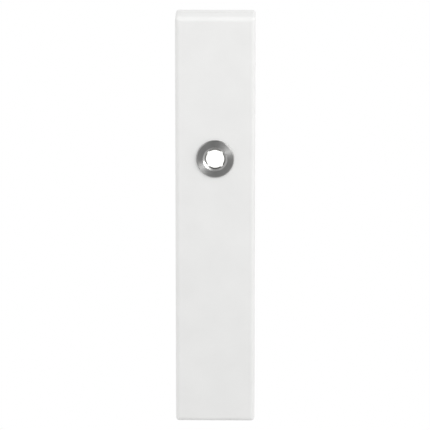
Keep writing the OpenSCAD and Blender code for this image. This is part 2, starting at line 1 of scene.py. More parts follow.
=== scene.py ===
"""Looks for a slim wall-mounted video doorbell, built as a Blender add-on around its CAD frame."""
import json
import math

import bmesh
import bpy
from bpy.props import FloatProperty, FloatVectorProperty, IntProperty, PointerProperty
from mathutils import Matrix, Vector


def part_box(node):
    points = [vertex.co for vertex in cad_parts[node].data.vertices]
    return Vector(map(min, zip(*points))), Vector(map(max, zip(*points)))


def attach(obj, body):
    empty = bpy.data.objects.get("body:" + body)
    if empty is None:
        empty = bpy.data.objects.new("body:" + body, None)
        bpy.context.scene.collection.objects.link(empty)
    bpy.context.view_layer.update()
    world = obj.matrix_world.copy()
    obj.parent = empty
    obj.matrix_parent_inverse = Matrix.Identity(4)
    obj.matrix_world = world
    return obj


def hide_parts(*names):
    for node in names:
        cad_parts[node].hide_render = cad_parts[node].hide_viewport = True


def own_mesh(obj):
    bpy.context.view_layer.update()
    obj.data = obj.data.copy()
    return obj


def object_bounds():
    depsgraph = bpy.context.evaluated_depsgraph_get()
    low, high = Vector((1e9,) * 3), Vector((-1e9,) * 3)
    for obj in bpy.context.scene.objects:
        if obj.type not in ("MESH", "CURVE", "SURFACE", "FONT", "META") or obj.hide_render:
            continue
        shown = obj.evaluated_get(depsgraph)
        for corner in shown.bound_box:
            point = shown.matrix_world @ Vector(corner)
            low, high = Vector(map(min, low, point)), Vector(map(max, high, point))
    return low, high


bl_info = {
    "name": "Video doorbell",
    "version": (1, 0, 0),
    "blender": (4, 5, 0),
    "location": "View3D > Sidebar > Doorbell",
    "description": "Builds the pieces, finishes and stage of a slim video doorbell",
    "category": "Object",
}

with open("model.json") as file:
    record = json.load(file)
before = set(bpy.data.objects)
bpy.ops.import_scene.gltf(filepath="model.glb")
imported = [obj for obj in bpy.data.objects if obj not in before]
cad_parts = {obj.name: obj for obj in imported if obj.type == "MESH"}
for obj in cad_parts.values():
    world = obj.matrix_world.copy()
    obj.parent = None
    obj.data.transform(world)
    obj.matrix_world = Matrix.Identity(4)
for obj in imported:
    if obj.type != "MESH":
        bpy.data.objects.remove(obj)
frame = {"nodes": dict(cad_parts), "record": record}
CAD_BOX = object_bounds()

MM = 0.001
BODY_OF = {n: body for body, nodes in frame["record"]["behaviour"]["bodies"].items() for n in nodes}


def middle(node):
    """The centre of a CAD node's box."""
    low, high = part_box(node)
    return (low + high) / 2


PUSH_AXIS = middle("bezel_ring")
FRONT_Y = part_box("front_shell")[0].y
SHOULDER_Y = FRONT_Y + 5 * MM  # where the cap's flange meets the bezel
BARREL_R = 7.9 * MM            # the bezel's threaded barrel
BOARD = 1.2 * MM               # thickness of the circuit boards


def linear(hex_colour, alpha=1.0):
    """An sRGB hex colour as linear red, green, blue and alpha."""
    channels = [int(hex_colour[i:i + 2], 16) / 255 for i in (0, 2, 4)]
    bent = [c / 12.92 if c <= 0.04045 else ((c + 0.055) / 1.055) ** 2.4 for c in channels]
    return (*bent, alpha)


# ---------------------------------------------------------------- settings

class HousingSettings(bpy.types.PropertyGroup):
    corner: FloatProperty(
        name="Corner radius", description="Radius of the corners seen from the front",
        default=1.8 * MM, unit="LENGTH")
    fillet: FloatProperty(
        name="Front fillet", description="Radius around the front face", default=2.4 * MM, unit="LENGTH")
    side_wall: FloatProperty(
        name="Side wall", description="Thickness of the side and end walls", default=2.2 * MM, unit="LENGTH")
    front_wall: FloatProperty(
        name="Front wall", description="Thickness of the front wall", default=2.0 * MM, unit="LENGTH")
    barrel_hole: FloatProperty(
        name="Push hole radius", description="Radius of the hole for the bezel's barrel",
        default=8.0 * MM, unit="LENGTH")
    slot_count: IntProperty(name="Speaker slots", description="Number of slots in the bottom face", default=5)
    slot_pitch: FloatProperty(
        name="Slot pitch", description="Distance between speaker slots", default=2.5 * MM, unit="LENGTH")
    slot_width: FloatProperty(
        name="Slot width", description="Width of a speaker slot", default=1.3 * MM, unit="LENGTH")
    slot_length: FloatProperty(
        name="Slot length", description="Length of a speaker slot", default=7.0 * MM, unit="LENGTH")
    colour: FloatVectorProperty(
        name="Housing colour", description="Colour of the moulded shells", subtype="COLOR", size=4,
        min=0, max=1, default=linear("EEEEED"))


class PushSettings(bpy.types.PropertyGroup):
    bore: FloatProperty(
        name="Bore radius", description="Radius of the bezel's bore", default=5.45 * MM, unit="LENGTH")
    chamfer: FloatProperty(
        name="Mouth chamfer", description="Width of the chamfer at the mouth of the bore",
        default=1.0 * MM, unit="LENGTH")
    chamfer_depth: FloatProperty(
        name="Mouth chamfer depth", description="Depth of the chamfer at the mouth of the bore",
        default=0.6 * MM, unit="LENGTH")
    rim: FloatProperty(
        name="Rim chamfer", description="Chamfer around the outside of the bezel",
        default=0.45 * MM, unit="LENGTH")
    cap: FloatProperty(
        name="Cap radius", description="Radius of the opal cap's round part",
        default=4.77 * MM, unit="LENGTH")
    lug_square: FloatProperty(
        name="Lug square", description="Width of the square whose corners are the guide lugs",
        default=8.1 * MM, unit="LENGTH")
    lug_reach: FloatProperty(
        name="Lug reach", description="Radius that the lugs reach to", default=5.38 * MM, unit="LENGTH")
    skirt: FloatProperty(
        name="Skirt radius", description="Inner radius of the cap's skirt", default=4.0 * MM, unit="LENGTH")
    pinhole: FloatProperty(
        name="Pinhole radius", description="Radius of the camera's hole at the face of the cap",
        default=0.22 * MM, unit="LENGTH")
    pinhole_back: FloatProperty(
        name="Pinhole back radius", description="Radius of the camera's hole behind the face",
        default=0.45 * MM, unit="LENGTH")
    groove: FloatProperty(
        name="Turning pitch", description="Distance between the lathe's grooves",
        default=0.25 * MM, unit="LENGTH")
    # Besides the backlight, this glow paints light over the shade that the bezel casts on the cap's edge
    glow: FloatProperty(name="Cap glow", description="Strength of the light through the cap", default=0.35)
    steel: FloatVectorProperty(
        name="Steel colour", description="Colour of the turned stainless steel", subtype="COLOR", size=4,
        min=0, max=1, default=linear("ABABAA"))


class StageSettings(bpy.types.PropertyGroup):
    elevation: FloatProperty(
        name="Camera elevation", description="Angle of the camera above the horizon",
        default=math.radians(13.9), subtype="ANGLE")
    swing: FloatProperty(
        name="Camera swing", description="Angle of the camera to the right of the middle",
        default=math.radians(1.0), subtype="ANGLE")
    distance: FloatProperty(
        name="Camera distance", description="From the camera to the doorbell", default=1.75, unit="LENGTH")
    lens: FloatProperty(name="Focal length", description="On a 36 mm sensor, in millimetres", default=275.8)
    floor_drop: FloatProperty(
        name="Floor drop", description="Height of the doorbell above the floor", default=1.3, unit="LENGTH")
    surround: FloatProperty(name="Surround", description="Brightness of the pale surround", default=0.92)
    front_shade: FloatProperty(
        name="Front shade", description="Share of the light that comes from behind the camera", default=0.5)
    ceiling_shade: FloatProperty(
        name="Ceiling shade", description="Share of the light that comes from straight above", default=0.22)
    ceiling_level: FloatProperty(
        name="Ceiling level", description="Share of the surround that soft light keeps", default=0.88)
    floor_level: FloatProperty(
        name="Floor level", description="Brightness of the floor around the doorbell", default=0.95)
    floor_shade: FloatProperty(
        name="Floor shade", description="Share of the light that comes from straight below", default=0.42)
    backdrop: FloatProperty(
        name="Backdrop", description="Brightness of the surround as seen to the sides", default=0.6)
    fill_power: FloatProperty(name="Fill light", description="Power of the frontal fill", default=4.65)
    key_power: FloatProperty(name="Key light", description="Power of the right-hand softbox", default=1.8)
    glint_power: FloatProperty(
        name="Glint", description="Power of the light that only glosses the steel", default=9.5)


# ---------------------------------------------------------------- mesh tools

def new_piece(name, bm, centre=(0, 0, 0)):
    """An object made from bm, whose points are taken about centre."""
    mesh = bpy.data.meshes.new(name)
    bmesh.ops.recalc_face_normals(bm, faces=bm.faces)
    bm.to_mesh(mesh)
    bm.free()
    piece = bpy.data.objects.new(name, mesh)
    piece.location = centre
    bpy.context.scene.collection.objects.link(piece)
    return piece


def settle(piece):
    """Turns the piece's modifiers into mesh."""
    evaluated = piece.evaluated_get(bpy.context.evaluated_depsgraph_get())
    mesh = bpy.data.meshes.new_from_object(evaluated)
    piece.modifiers.clear()
    piece.data = mesh
    mesh.name = piece.name


def shade(piece, edge=0.0, sharp=35, segments=2):
    """Rounds the sharp edges by edge metres and shades the rest smooth."""
    for face in piece.data.polygons:
        face.use_smooth = True
    if edge:
        rounding = piece.modifiers.new("edge break", "BEVEL")
        rounding.width = edge
        rounding.segments = segments
        rounding.limit_method = "ANGLE"
        rounding.angle_limit = math.radians(sharp)
        rounding.harden_normals = False
    else:
        piece.data.set_sharp_from_angle(angle=math.radians(sharp))
    weighting = piece.modifiers.new("even shading", "WEIGHTED_NORMAL")
    weighting.keep_sharp = True


def loft(bm, rings, closed=False):
    """Skins rings of equally many points, and caps the first and last unless the skin closes on itself."""
    made = [[bm.verts.new(p) for p in ring] for ring in rings]
    pairs = list(zip(made, made[1:])) + ([(made[-1], made[0])] if closed else [])
    for a, b in pairs:
        for i in range(len(a)):
            j = (i + 1) % len(a)
            bm.faces.new((a[i], a[j], b[j], b[i]))
    if not closed:
        bm.faces.new(made[0])
        bm.faces.new(list(reversed(made[-1])))


def round_rect(width, height, radius, y, steps=10):
    """A rectangle with round corners in X and Z, at one depth."""
    points = []
    for sx, sz, start in ((1, 1, 0), (-1, 1, 90), (-1, -1, 180), (1, -1, 270)):
        cx = sx * (width / 2 - radius)
        cz = sz * (height / 2 - radius)
        for i in range(steps + 1):
            a = math.radians(start + 90 * i / steps)
            points.append((cx + radius * math.cos(a), y, cz + radius * math.sin(a)))
    return points


def circle(radius, y, steps):
    """A ring of points about the Y axis."""
    turn = 2 * math.pi / steps
    return [(radius * math.cos(turn * i), y, radius * math.sin(turn * i)) for i in range(steps)]


def turned(name, profile, steps=96, centre=PUSH_AXIS):
    """A solid turned about the push's axis, from a closed profile of radius and depth in the frame."""
    bm = bmesh.new()
    loft(bm, [circle(r, y - centre.y, steps) for r, y in profile], closed=True)
    return new_piece(name, bm, centre)


def rod(bm, radius, low, high, steps=32):
    """A plain cylinder between two points."""
    axis = Vector(high) - Vector(low)
    spin = axis.to_track_quat("Z", "Y").to_matrix().to_4x4()
    spin.translation = (Vector(high) + Vector(low)) / 2
    bmesh.ops.create_cone(
        bm, cap_ends=True, segments=steps, radius1=radius, radius2=radius, depth=axis.length, matrix=spin)


def block(bm, low, high):
    """A box between two corners."""
    made = bmesh.ops.create_cube(bm, size=1)["verts"]
    for v in made:
        v.co = [low[k] if v.co[k] < 0 else high[k] for k in range(3)]


def slotted(bm, centre, width, length, low_z, high_z, steps=8):
    """A slot with round ends that runs along Y and is cut along Z."""
    outline = []
    for side, start in ((1, 0), (-1, 180)):
        for i in range(steps + 1):
            a = math.radians(start + 180 * i / steps)
            outline.append((
                centre.x + width / 2 * math.cos(a),
                centre.y + side * (length - width) / 2 + width / 2 * math.sin(a)))
    loft(bm, [[(x, y, z) for x, y in outline] for z in (low_z, high_z)])


def combine(piece, bm, operation):
    """Cuts bm's solids out of the piece, or joins them to it."""
    tool = new_piece(piece.name + "_tool", bm)
    joined = piece.modifiers.new(operation.lower(), "BOOLEAN")
    joined.object = tool
    joined.operation = operation
    joined.solver = "EXACT"
    joined.use_self = True
    settle(piece)
    bpy.data.objects.remove(tool)


def islands(node):
    """The boxes of a CAD node's separate solids."""
    bm = bmesh.new()
    bm.from_mesh(frame["nodes"][node].data)
    bmesh.ops.remove_doubles(bm, verts=bm.verts, dist=1e-6)
    left = set(bm.verts)
    boxes = []
    while left:
        grown = [left.pop()]
        found = []
        while grown:
            v = grown.pop()
            found.append(v.co.copy())
            for e in v.link_edges:
                other = e.other_vert(v)
                if other in left:
                    left.remove(other)
                    grown.append(other)
        boxes.append((Vector([min(p[k] for p in found) for k in range(3)]),
                      Vector([max(p[k] for p in found) for k in range(3)])))
    bm.free()
    return sorted(boxes, key=lambda pair: tuple(pair[0]))


def stand_for(piece, finish, *nodes):
    """The piece takes the place, body and material slot of CAD nodes."""
    piece.data.materials.clear()
    piece.data.materials.append(finish)
    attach(piece, BODY_OF[nodes[0]])
    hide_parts(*nodes)
    return piece


def softened(node, finish, edge=0.12 * MM, name=None):
    """A copy of a CAD node with broken edges and even shading."""
    bm = bmesh.new()
    bm.from_mesh(frame["nodes"][node].data)
    bmesh.ops.remove_doubles(bm, verts=bm.verts, dist=1e-6)
    bmesh.ops.dissolve_limit(bm, angle_limit=math.radians(0.5), verts=bm.verts, edges=bm.edges)
    piece = new_piece(name or node + "_moulded", bm)
    shade(piece, edge)
    return stand_for(piece, finish, node)


# ---------------------------------------------------------------- materials

WAVE_PITCH = 0.314  # distance between the lines of a Wave texture at a scale of 1


def add(tree, kind, settings=None, inputs=None):
    """Adds a node with its settings, and sets or links its inputs."""
    node = tree.nodes.new(kind)
    for key, value in (settings or {}).items():
        setattr(node, key, value)
    for key, value in (inputs or {}).items():
        if isinstance(value, bpy.types.NodeSocket):
            tree.links.new(value, node.inputs[key])
        else:
            node.inputs[key].default_value = value
    return node


def blank(name):
    """A material with only a Principled shader, its tree and the piece's own coordinates in metres."""
    material = bpy.data.materials.get(name) or bpy.data.materials.new(name)
    material.use_nodes = True
    tree = material.node_tree
    tree.nodes.clear()
    shader = add(tree, "ShaderNodeBsdfPrincipled")
    add(tree, "ShaderNodeOutputMaterial", inputs={"Surface": shader.outputs[0]})
    place = add(tree, "ShaderNodeTexCoord").outputs["Object"]
    return material, tree, shader, place


def per(size):
    """The scale of a pattern whose features are that many millimetres apart."""
    return 1 / (size * MM)


def mottle(tree, place, size, low, high, detail=3.0):
    """A value that wanders between low and high over features of that size."""
    noise = add(tree, "ShaderNodeTexNoise", inputs={"Vector": place, "Scale": per(size), "Detail": detail})
    spread = add(tree, "ShaderNodeMapRange", inputs={
        "Value": noise.outputs["Fac"], "From Min": 0.3, "From Max": 0.7, "To Min": low, "To Max": high})
    return spread.outputs["Result"]


def tinted(tree, shader, share, first, second):
    """Colours the shader between two linear colours."""
    mix = add(tree, "ShaderNodeMix", {"data_type": "RGBA"}, {0: share})
    mix.inputs["A"].default_value = first
    mix.inputs["B"].default_value = second
    tree.links.new(mix.outputs["Result"], shader.inputs["Base Color"])


def dulled(tree, shader, place, size, low, high):
    """Lets the shader's roughness wander between low and high over features of that size."""
    tree.links.new(mottle(tree, place, size, low, high), shader.inputs["Roughness"])


def roughened(tree, shader, height, depth):
    """Bumps the shader by a height value, over that many millimetres."""
    bump = add(tree, "ShaderNodeBump", inputs={"Height": height, "Strength": 1.0, "Distance": depth * MM})
    tree.links.new(bump.outputs["Normal"], shader.inputs["Normal"])


def asa_moulded(colour):
    """White ASA from a spark-eroded mould: a fine even grain gives a soft satin sheen."""
    material, tree, shader, place = blank("asa_moulded_white")
    dull = [0.965 * c for c in colour[:3]] + [1]
    tinted(tree, shader, mottle(tree, place, 18, 0, 1), tuple(colour), dull)
    dulled(tree, shader, place, 6, 0.40, 0.48)
    shader.inputs["IOR"].default_value = 1.52
    # Mould grain is about 0.1 mm and is drawn at 0.4 mm so that it shows
    roughened(tree, shader, mottle(tree, place, 0.4, 0, 1, 2), 0.004)
    return material


def silicone_moulded():
    """White silicone rubber: softer and duller than the shell, with a faint dusting."""
    material, tree, shader, place = blank("silicone_moulded_white")
    tinted(tree, shader, mottle(tree, place, 5, 0, 1), linear("EAEAE8"), linear("DEDEDA"))
    dulled(tree, shader, place, 2, 0.62, 0.74)
    shader.inputs["IOR"].default_value = 1.41
    roughened(tree, shader, mottle(tree, place, 0.3, 0, 1), 0.006)
    return material


def opal_acrylic(glow):
    """Opal acrylic lit from behind: a milky satin white that glows evenly. The glow also paints light over
    the shade that the bezel's recess casts near the cap's edge.
    """
    material, tree, shader, place = blank("opal_acrylic")
    tinted(tree, shader, mottle(tree, place, 3, 0, 1), linear("FBFBF9"), linear("F3F4F2"))
    dulled(tree, shader, place, 1.5, 0.26, 0.34)
    shader.inputs["IOR"].default_value = 1.49
    # Emission: the push's backlight, made strong enough to paint out the shade of the bezel's recess
    shader.inputs["Emission Color"].default_value = linear("FFFEFB")
    shader.inputs["Emission Strength"].default_value = glow
    roughened(tree, shader, mottle(tree, place, 0.5, 0, 1), 0.002)
    return material


def opal_skirt_painted_shade():
    """The cap's skirt, inside the bore: the same opal with little of the light, coloured darker than the cap
    as painted shade of the bore.
    """
    material, tree, shader, place = blank("opal_acrylic_skirt_shaded")
    # Greyer than the cap's opal: painted shade of the bore
    tinted(tree, shader, mottle(tree, place, 3, 0, 1), linear("D9D9D6"), linear("CDCECB"))
    dulled(tree, shader, place, 1.5, 0.30, 0.38)
    shader.inputs["IOR"].default_value = 1.49
    shader.inputs["Emission Color"].default_value = linear("FFFEFB")
    shader.inputs["Emission Strength"].default_value = 0.12
    return material


def stainless_turned(colour, pitch):
    """Face-turned stainless steel: fine rings about the axis stretch each highlight into a bow tie."""
    material, tree, shader, place = blank("stainless_turned")
    worn = [0.9 * c for c in colour[:3]] + [1]
    tinted(tree, shader, mottle(tree, place, 4, 0, 1), tuple(colour), worn)
    dulled(tree, shader, place, 0.8, 0.53, 0.60)
    shader.inputs["Metallic"].default_value = 1.0
    shader.inputs["Anisotropic"].default_value = 0.9
    # The grooves run round the axis, so the facets lean across them, a quarter turn from the tangent
    shader.inputs["Anisotropic Rotation"].default_value = 0.25
    lathe = add(tree, "ShaderNodeTangent", {"direction_type": "RADIAL", "axis": "Y"})
    tree.links.new(lathe.outputs["Tangent"], shader.inputs["Tangent"])
    rings = add(tree, "ShaderNodeTexWave", {"wave_type": "RINGS", "rings_direction": "Y"}, {
        "Vector": place, "Scale": WAVE_PITCH / pitch, "Distortion": 0.6, "Detail": 2.0, "Detail Scale": 40.0})
    roughened(tree, shader, rings.outputs["Fac"], 0.004)
    return material


def stainless_cut(colour):
    """The same steel where a sharp tool cut the chamfers: brighter, with the same highlight all round."""
    material, tree, shader, place = blank("stainless_cut")
    worn = [0.93 * c for c in colour[:3]] + [1]
    tinted(tree, shader, mottle(tree, place, 3, 0, 1), tuple(colour), worn)
    dulled(tree, shader, place, 0.8, 0.28, 0.36)
    shader.inputs["Metallic"].default_value = 1.0
    return material


def steel_zinc_plated():
    """Zinc-plated sheet steel: cool grey with a faint spangle and soft rolling marks."""
    material, tree, shader, place = blank("steel_zinc_plated")
    spangle = add(tree, "ShaderNodeTexVoronoi", inputs={"Vector": place, "Scale": per(5)})
    tone = add(tree, "ShaderNodeSeparateColor", inputs={"Color": spangle.outputs["Color"]})
    tinted(tree, shader, tone.outputs[0], linear("AEB2B5"), linear("BDC1C3"))
    stretched = add(tree, "ShaderNodeMapping", inputs={"Vector": place, "Scale": (1, 1, 0.02)})
    rolled = mottle(tree, stretched.outputs["Vector"], 0.25, 0, 1)
    level = add(tree, "ShaderNodeMapRange", inputs={"Value": rolled, "To Min": 0.32, "To Max": 0.46})
    tree.links.new(level.outputs["Result"], shader.inputs["Roughness"])
    shader.inputs["Metallic"].default_value = 1.0
    roughened(tree, shader, rolled, 0.003)
    return material


def nickel_plated():
    """Bright nickel plating over turned and pressed small parts: warm grey, nearly smooth."""
    material, tree, shader, place = blank("nickel_plated")
    tinted(tree, shader, mottle(tree, place, 1.2, 0, 1), linear("C4C0B6"), linear("AFACA4"))
    dulled(tree, shader, place, 0.6, 0.20, 0.34)
    shader.inputs["Metallic"].default_value = 1.0
    roughened(tree, shader, mottle(tree, place, 0.25, 0, 1), 0.002)
    return material


def epdm_rubber():
    """EPDM rubber: matt black with a fine bloom of grey."""
    material, tree, shader, place = blank("epdm_rubber")
    tinted(tree, shader, mottle(tree, place, 3, 0, 1), linear("1B1B1C"), linear("2A2A2B"))
    dulled(tree, shader, place, 1, 0.70, 0.85)
    roughened(tree, shader, mottle(tree, place, 0.3, 0, 1), 0.01)
    return material


def nylon_filled(name, first, second):
    """Glass-filled nylon: its short fibres leave a dull surface with faint streaks."""
    material, tree, shader, place = blank(name)
    streaks = add(tree, "ShaderNodeMapping", inputs={"Vector": place, "Scale": (1, 1, 0.2)})
    tinted(tree, shader, mottle(tree, streaks.outputs["Vector"], 0.8, 0, 1), linear(first), linear(second))
    dulled(tree, shader, place, 0.7, 0.45, 0.62)
    shader.inputs["IOR"].default_value = 1.53
    roughened(tree, shader, mottle(tree, place, 0.2, 0, 1), 0.005)
    return material


def laminate_masked():
    """Glass-epoxy board under green solder mask: copper tracks show as paler lines."""
    material, tree, shader, place = blank("fr4_solder_masked")
    tracks = add(tree, "ShaderNodeTexBrick", {"offset": 0.35, "squash": 1.6, "squash_frequency": 3}, {
        "Scale": per(3.2), "Mortar Size": 0.06, "Mortar Smooth": 0.2, "Brick Width": 1.0, "Row Height": 0.35,
        "Color1": linear("0E4A2C"), "Color2": linear("115232"), "Mortar": linear("2C7A50")})
    turned_flat = add(tree, "ShaderNodeMapping", inputs={"Vector": place, "Rotation": (math.pi / 2, 0, 0)})
    tree.links.new(turned_flat.outputs["Vector"], tracks.inputs["Vector"])
    tree.links.new(tracks.outputs["Color"], shader.inputs["Base Color"])
    dulled(tree, shader, place, 2, 0.28, 0.38)
    roughened(tree, shader, tracks.outputs["Fac"], 0.03)
    return material


def polyimide_film():
    """Polyimide flex: amber film with copper lines running along it."""
    material, tree, shader, place = blank("polyimide_film")
    lines = add(tree, "ShaderNodeTexWave", {"wave_type": "BANDS", "bands_direction": "X"}, {
        "Vector": place, "Scale": WAVE_PITCH / (0.8 * MM)})
    tinted(tree, shader, lines.outputs["Fac"], linear("A8621C"), linear("C98A3E"))
    dulled(tree, shader, place, 2, 0.25, 0.35)
    roughened(tree, shader, lines.outputs["Fac"], 0.02)
    return material


def foil_laminated():
    """The battery's aluminium-laminate pouch: soft silver with pressed dimples."""
    material, tree, shader, place = blank("aluminium_laminate_foil")
    dimples = add(tree, "ShaderNodeTexVoronoi", {"feature": "SMOOTH_F1"}, {
        "Vector": place, "Scale": per(1.5)})
    tinted(tree, shader, mottle(tree, place, 12, 0, 1), linear("B4B8BC"), linear("A2A6AB"))
    dulled(tree, shader, place, 4, 0.34, 0.46)
    shader.inputs["Metallic"].default_value = 0.9
    roughened(tree, shader, dimples.outputs["Distance"], 0.03)
    return material


def brass_flashed():
    """Brass terminal screws under a thin nickel flash that has yellowed a little."""
    material, tree, shader, place = blank("brass_flashed")
    tinted(tree, shader, mottle(tree, place, 1.5, 0, 1), linear("C9AE6B"), linear("B8A06A"))
    dulled(tree, shader, place, 0.7, 0.22, 0.36)
    shader.inputs["Metallic"].default_value = 1.0
    return material


def glass_coated():
    """Optical glass with a blue-green anti-reflection coating, ground dull at its rim."""
    material, tree, shader, place = blank("glass_coated")
    tinted(tree, shader, mottle(tree, place, 3, 0, 1), linear("DDE8F5"), linear("D2E4EE"))
    dulled(tree, shader, place, 1, 0.02, 0.05)
    shader.inputs["IOR"].default_value = 1.52
    shader.inputs["Transmission Weight"].default_value = 1.0
    return material


def finishes():
    """Every finish by name, made once and shared by the operators."""
    scene = bpy.context.scene
    if "asa_moulded_white" not in bpy.data.materials:
        asa_moulded(scene.doorbell_housing.colour)
        silicone_moulded()
        opal_acrylic(scene.doorbell_push.glow)
        opal_skirt_painted_shade()
        stainless_turned(scene.doorbell_push.steel, scene.doorbell_push.groove)
        stainless_cut(scene.doorbell_push.steel)
        steel_zinc_plated()
        nickel_plated()
        epdm_rubber()
        nylon_filled("nylon_filled_black", "18191A", "222324")
        nylon_filled("polymer_filled_ivory", "D9D4C3", "CEC8B5")
        laminate_masked()
        polyimide_film()
        foil_laminated()
        brass_flashed()
        glass_coated()
    return bpy.data.materials


# ---------------------------------------------------------------- pieces

class DOORBELL_OT_front_shell(bpy.types.Operator):
    """Builds the moulded front shell with its push hole, slots, ports and screw bosses"""
    bl_idname = "doorbell.front_shell"
    bl_label = "Front shell"

    def execute(self, context):
        size = context.scene.doorbell_housing
        low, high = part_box("front_shell")
        width, height = high.x - low.x, high.z - low.z
        inner_w, inner_h = width - 2 * size.side_wall, height - 2 * size.side_wall
        rim_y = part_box("perimeter_seal")[0].y
        rim_break = 0.1 * MM
        sharpest = 0.25 * MM
        inner_corner = 0.1 * MM
        rings = []
        steps = 10
        for i in range(steps + 1):
            a = math.pi / 2 * i / steps
            inset = size.fillet * (1 - math.sin(a))
            y = low.y + size.fillet * (1 - math.cos(a))
            corner = max(size.corner - inset, sharpest)
            rings.append(round_rect(width - 2 * inset, height - 2 * inset, corner, y))
        rings.append(round_rect(width, height, size.corner, rim_y - 2 * rim_break))
        rings.append(round_rect(width - 2 * rim_break, height - 2 * rim_break, size.corner, rim_y))
        rings.append(round_rect(inner_w, inner_h, inner_corner, rim_y))
        rings.append(round_rect(inner_w, inner_h, inner_corner, low.y + size.front_wall))
        bm = bmesh.new()
        loft(bm, rings)
        piece = new_piece("front_shell_moulding", bm)

        posts = bmesh.new()
        holes = bmesh.new()
        self.add_bosses(posts, holes, low.y + size.front_wall)
        combine(piece, posts, "UNION")
        self.add_openings(holes, size, low, low.z + size.side_wall)
        combine(piece, holes, "DIFFERENCE")
        shade(piece, 0.1 * MM, sharp=38)
        stand_for(piece, finishes()["asa_moulded_white"], "front_shell")
        return {"FINISHED"}

    def add_bosses(self, posts, holes, base_y):
        """Posts under every screw that goes into the front shell, each with a blind hole."""
        sunk = 0.05 * MM
        shank = 5 * MM
        hole_depth, over = 6 * MM, 0.1 * MM
        back_shell_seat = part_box("back_shell")[1].y - 6.8 * MM
        for node, radius, hole in (
                ("housing_screws", 2.0 * MM, 1.0 * MM),
                ("board_screws", 1.9 * MM, 0.8 * MM)):
            for low, high in islands(node):
                x, z = (low.x + high.x) / 2, (low.z + high.z) / 2
                # A board lies between its screw's head and the post
                top = back_shell_seat if node == "housing_screws" else low.y + shank - BOARD
                rod(posts, radius, (x, base_y - sunk, z), (x, top, z), 40)
                rod(holes, hole, (x, top - hole_depth, z), (x, top + over, z), 24)

    def add_openings(self, holes, size, low, inner_z):
        """Cutters for the push, speaker, microphone, reset button, charging port and flap."""
        before, past = 1 * MM, 0.5 * MM
        outside = low.z - before
        inside = inner_z + past
        rod(holes, size.barrel_hole, (PUSH_AXIS.x, low.y - before, PUSH_AXIS.z),
            (PUSH_AXIS.x, low.y + size.front_wall + past, PUSH_AXIS.z), 96)
        speaker = middle("speaker_mesh")
        for i in range(size.slot_count):
            offset = (i - (size.slot_count - 1) / 2) * size.slot_pitch
            centre = speaker + Vector((offset, 0, 0))
            slotted(holes, centre, size.slot_width, size.slot_length, outside, inside)
        mic = middle("mic_boot")
        mic_hole = 0.5 * MM
        rod(holes, mic_hole, (mic.x, mic.y, outside), (mic.x, mic.y, inside), 24)
        reset = middle("reset_button")
        reset_hole = 1.3 * MM
        rod(holes, reset_hole, (reset.x, reset.y, outside), (reset.x, reset.y, inside), 48)
        port = middle("usb_port")
        half_w, half_d = 4.9 * MM, 2 * MM
        block(holes, (port.x - half_w, port.y - half_d, outside), (port.x + half_w, port.y + half_d, inside))
        flap_low, flap_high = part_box("usb_flap")
        gap, hinge_gap, flap_depth = 0.3 * MM, 0.2 * MM, 1.5 * MM
        block(holes, (flap_low.x - gap, flap_low.y - gap, outside),
              (flap_high.x + gap, flap_high.y + hinge_gap, low.z + flap_depth))
        pin_low, pin_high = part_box("usb_flap_pin")
        pin = (pin_low + pin_high) / 2
        rod(holes, (pin_high.z - pin_low.z) / 2, (pin_low.x, pin.y, pin.z), (pin_high.x, pin.y, pin.z), 16)


class DOORBELL_OT_back_shell(bpy.types.Operator):
    """Builds the back shell and the seal between the shells"""
    bl_idname = "doorbell.back_shell"
    bl_label = "Back shell and seal"

    def execute(self, context):
        softened("back_shell", finishes()["asa_moulded_white"], 0.25 * MM)
        softened("perimeter_seal", finishes()["epdm_rubber"], 0.05 * MM)
        return {"FINISHED"}


class DOORBELL_OT_bezel(bpy.types.Operator):
    """Builds the turned bezel ring with its nut and seal"""
    bl_idname = "doorbell.bezel"
    bl_label = "Bezel"

    def execute(self, context):
        size = context.scene.doorbell_push
        low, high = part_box("bezel_ring")
        flange = (high.x - low.x) / 2
        shoulder = 6.7 * MM
        face, back, end = low.y, FRONT_Y, high.y
        mouth = size.bore + size.chamfer
        profile = [(size.bore, face + size.chamfer_depth + 0.15 * MM),
                   (size.bore + 0.04 * MM, face + size.chamfer_depth), (mouth, face)]
        flat = flange - size.rim - mouth
        profile += [(mouth + flat * share, face) for share in (0.2, 0.4, 0.6, 0.8, 1.0)]
        burr = 0.03 * MM
        profile += [(flange - burr, face + size.rim - burr), (flange, face + size.rim + 0.05 * MM)]
        # The seal lies in a groove in the back of the flange
        lip, groove_inner, groove = flange - 0.5 * MM, BARREL_R + 0.6 * MM, back - 0.6 * MM
        profile += [(flange, back), (lip, back), (lip, groove),
                    (groove_inner, groove), (groove_inner, back), (BARREL_R, back)]
        pitch, thread_depth, run_out = 1.0 * MM, 0.25 * MM, 0.5 * MM
        turns = int((end - back - 2 * run_out) / pitch)
        for i in range(turns):
            y = back + run_out + i * pitch
            profile += [(BARREL_R, y), (BARREL_R - thread_depth, y + pitch / 2)]
        profile += [(BARREL_R, end - 0.4 * MM), (BARREL_R - 0.3 * MM, end), (shoulder, end),
                    (shoulder, SHOULDER_Y), (size.bore, SHOULDER_Y)]
        ring = turned("bezel_ring_turned", profile, 144)
        shade(ring, sharp=20)
        stand_for(ring, finishes()["stainless_turned"], "bezel_ring")
        ring.data.materials.append(finishes()["stainless_cut"])
        for part in ring.data.polygons:
            facing = abs(part.normal.y) > 0.99
            part.material_index = 0 if facing else 1

        low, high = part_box("bezel_seal")
        outer = (high.x - low.x) / 2
        edge = 0.1 * MM
        seal = turned("bezel_seal_moulded", [
            (outer, high.y), (outer, low.y + edge), (outer - edge, low.y),
            (groove_inner + edge, low.y), (groove_inner, low.y + edge), (groove_inner, high.y)])
        shade(seal)
        stand_for(seal, finishes()["epdm_rubber"], "bezel_seal")
        softened("bezel_nut", finishes()["nickel_plated"], 0.2 * MM)
        return {"FINISHED"}


